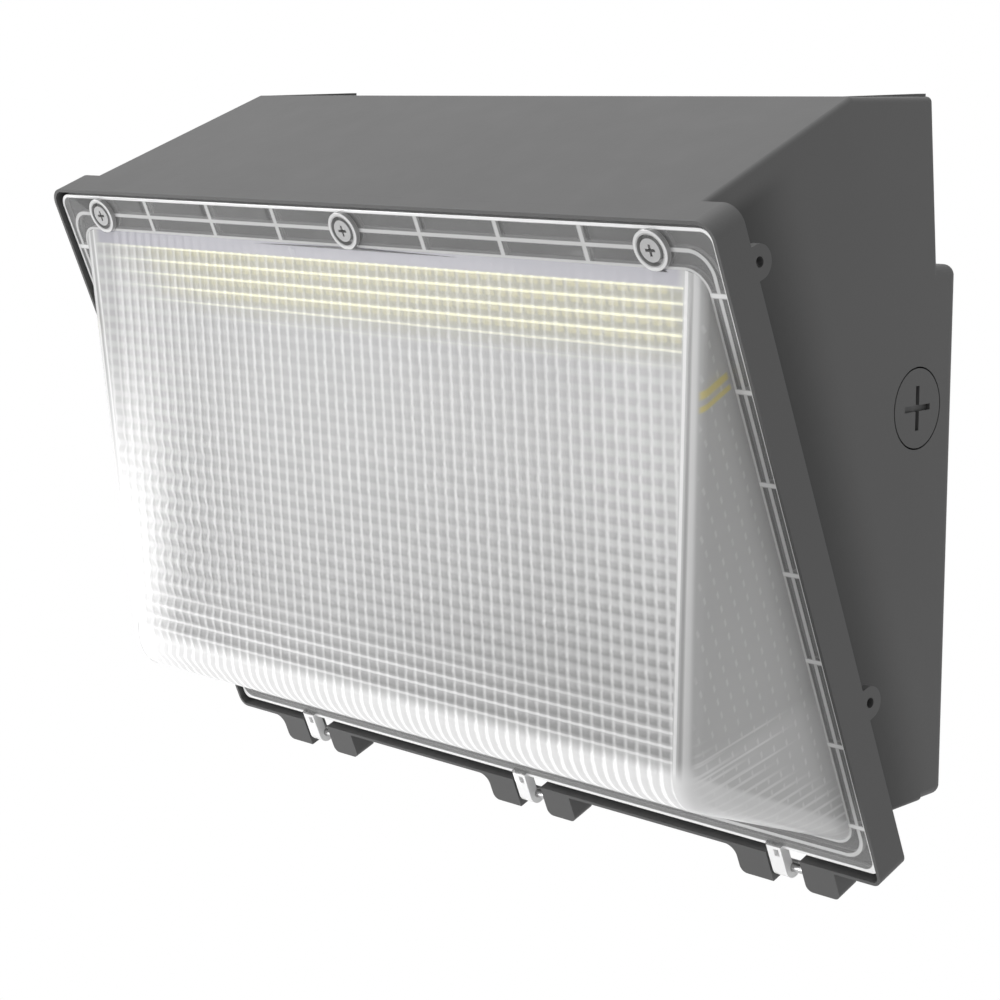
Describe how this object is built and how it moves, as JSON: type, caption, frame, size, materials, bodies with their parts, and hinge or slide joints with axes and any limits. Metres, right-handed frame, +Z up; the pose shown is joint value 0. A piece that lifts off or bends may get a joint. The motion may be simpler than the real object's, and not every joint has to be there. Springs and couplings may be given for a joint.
{
  "type": "wall pack light",
  "caption": "Sloping cast housing for an outside wall, with a clear ribbed lens that swings down on hinges along its lower edge, and lamps, a driver and wiring behind it.",
  "frame": {"origin": "the middle of the wall screw pattern, in the plane of the wall", "axes": "+X across to the right as seen from the front, +Y into the wall, +Z up"},
  "size_m": [0.361, 0.162, 0.2831],
  "materials": {
    "casting": "dark grey powder coat on die-cast aluminium",
    "lens": "clear moulded polycarbonate",
    "gasket": "matt silicone",
    "steel": "plain stainless",
    "white_sheet": "white gloss",
    "board": "white solder mask",
    "lamp": "yellow phosphor",
    "connector": "moulded nylon",
    "wire_red": "insulated lead",
    "wire_black": "insulated lead",
    "wire_white": "insulated lead",
    "wire_green": "insulated lead",
    "driver_metal": "plain extrusion",
    "driver_cap": "moulded",
    "wire_cap": "moulded",
    "earth_green": "green dyed steel",
    "brass": "tinned"
  },
  "bodies": {
    "housing": {"housing": "casting", "lens_gasket": "gasket", "hinge_pin_left": "steel", "hinge_pin_middle": "steel", "hinge_pin_right": "steel", "tray": "white_sheet", "tray_screws": "steel", "light_board_left": "board", "light_board_right": "board", "lamps_left": "lamp", "lamps_right": "lamp", "board_connectors": "connector", "board_screws": "steel", "lead_bush": "gasket", "light_leads": "wire_red", "driver_case": "driver_metal", "driver_cap_left": "driver_cap", "driver_cap_right": "driver_cap", "driver_screws": "steel", "lead_live": "wire_black", "lead_neutral": "wire_white", "lead_earth": "wire_green", "wire_caps": "wire_cap", "earth_screw": "earth_green", "earth_lug": "brass", "wall_grommet": "gasket", "wall_seal": "gasket"},
    "lens": {"lens": "lens"},
    "lens_screw_left": {"lens_screw_left": "steel", "screw_clip_left": "gasket"},
    "lens_screw_middle": {"lens_screw_middle": "steel", "screw_clip_middle": "gasket"},
    "lens_screw_right": {"lens_screw_right": "steel", "screw_clip_right": "gasket"},
    "plug_left": {"plug_left": "casting", "plug_ring_left": "gasket"},
    "plug_right": {"plug_right": "casting", "plug_ring_right": "gasket"}
  },
  "joints": [
    {"name": "lens_hinge", "type": "hinge", "parent": "housing", "child": "lens", "pos_m": [0, -0.0612, -0.11775], "axis": [1, 0, 0], "range_deg": [0, 145]},
    {"name": "lens_screw_left_out", "type": "slide", "parent": "lens", "child": "lens_screw_left", "axis": [0, -0.9272, -0.3746], "range_m": [0, 0.005]},
    {"name": "lens_screw_middle_out", "type": "slide", "parent": "lens", "child": "lens_screw_middle", "axis": [0, -0.9272, -0.3746], "range_m": [0, 0.005]},
    {"name": "lens_screw_right_out", "type": "slide", "parent": "lens", "child": "lens_screw_right", "axis": [0, -0.9272, -0.3746], "range_m": [0, 0.005]},
    {"name": "plug_left_out", "type": "slide", "parent": "housing", "child": "plug_left", "axis": [-0.9975, 0.0705, 0], "range_m": [0, 0.025]},
    {"name": "plug_right_out", "type": "slide", "parent": "housing", "child": "plug_right", "axis": [0.9975, 0.0705, 0], "range_m": [0, 0.025]}
  ]
}
